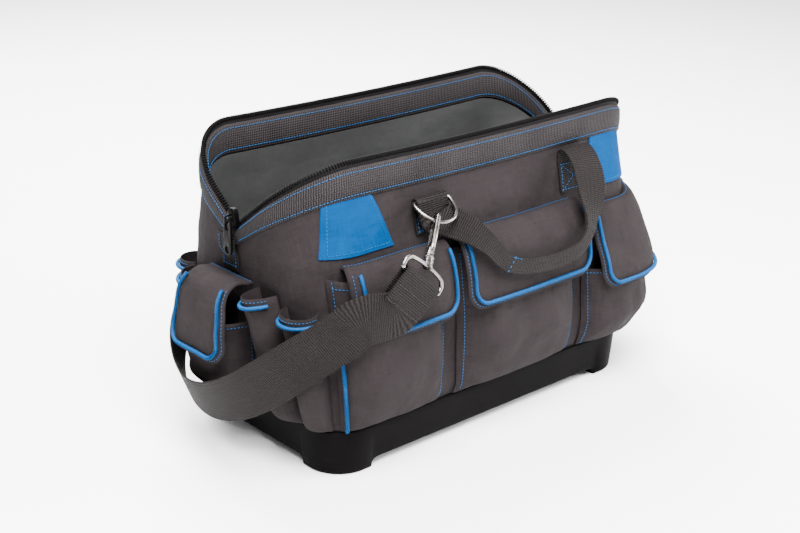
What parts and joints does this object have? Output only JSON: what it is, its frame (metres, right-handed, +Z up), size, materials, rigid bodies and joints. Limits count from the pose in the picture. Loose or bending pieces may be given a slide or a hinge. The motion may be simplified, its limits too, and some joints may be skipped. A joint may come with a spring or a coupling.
{
  "type": "work bag",
  "caption": "Wide-mouth work bag with a moulded base, outer pockets and tool sleeves, webbing handles, zip and a clip-on shoulder strap.",
  "frame": {"origin": "on the floor under the middle of the whole part, strap included", "axes": "+X along the bag's length, away from the end that the strap goes round; +Y towards the back; +Z up"},
  "size_m": [0.5496, 0.3324, 0.2965],
  "materials": {
    "tub_plastic": "moulded, satin black",
    "body_fabric": "charcoal woven polyester",
    "hem_webbing": "charcoal woven hem",
    "zip_tape": "black zip tape with plastic teeth",
    "blue_fabric": "bright blue woven fabric",
    "blue_piping": "bright blue braided piping",
    "webbing": "ribbed charcoal webbing",
    "nickel": "nickel-plated wire, bright",
    "black_metal": "black painted zip metal"
  },
  "bodies": {
    "bag": {"base_tub": "tub_plastic", "body_shell": "body_fabric", "corner_patch_front_left": "blue_fabric", "corner_patch_front_right": "blue_fabric", "corner_patch_rear_left": "blue_fabric", "corner_patch_rear_right": "blue_fabric", "dring_front": "nickel", "dring_rear": "nickel", "flap_end_left": "body_fabric", "flap_end_left_piping": "blue_piping", "flap_end_right": "body_fabric", "flap_end_right_piping": "blue_piping", "flap_front_left": "body_fabric", "flap_front_left_piping": "blue_piping", "flap_front_middle": "body_fabric", "flap_front_middle_piping": "blue_piping", "flap_front_right": "body_fabric", "flap_front_right_piping": "blue_piping", "handle_front": "webbing", "handle_rear": "webbing", "pocket_end_left": "body_fabric", "pocket_end_right": "body_fabric", "pocket_front_left": "body_fabric", "pocket_front_left_piping": "blue_piping", "pocket_front_middle": "body_fabric", "pocket_front_right": "body_fabric", "pocket_rear": "body_fabric", "pocket_rear_piping": "blue_piping", "rim_front": "hem_webbing", "rim_rear": "hem_webbing", "shoulder_strap": "webbing", "sleeve_left_a": "body_fabric", "sleeve_left_a_piping": "blue_piping", "sleeve_left_b": "body_fabric", "sleeve_left_b_piping": "blue_piping", "sleeve_left_c": "body_fabric", "sleeve_left_c_piping": "blue_piping", "sleeve_left_d": "body_fabric", "sleeve_left_d_piping": "blue_piping", "sleeve_right_a": "body_fabric", "sleeve_right_a_piping": "blue_piping", "snap_hook_front": "nickel", "snap_hook_rear": "nickel", "strap_ring_front": "nickel", "strap_ring_rear": "nickel", "zip_end_tab_left": "webbing", "zip_end_tab_right": "webbing", "zip_slider": "black_metal", "zip_tape_front": "zip_tape", "zip_tape_rear": "zip_tape"},
    "puller": {"zip_puller": "black_metal"},
    "gate": {"hook_gate": "nickel"}
  },
  "joints": [
    {"name": "puller_swing", "type": "hinge", "parent": "bag", "child": "puller", "pos_m": [-0.22912, -0.00717, 0.23223], "axis": [0, 1, 0], "range_deg": [0, 150]},
    {"name": "gate_hinge", "type": "hinge", "parent": "bag", "child": "gate", "pos_m": [-0.10636, -0.14048, 0.21393], "axis": [0.7202, -0.595, -0.3568], "range_deg": [0, 25], "stiffness_Nm_per_rad": 0.02, "springref_deg": -5.73}
  ]
}
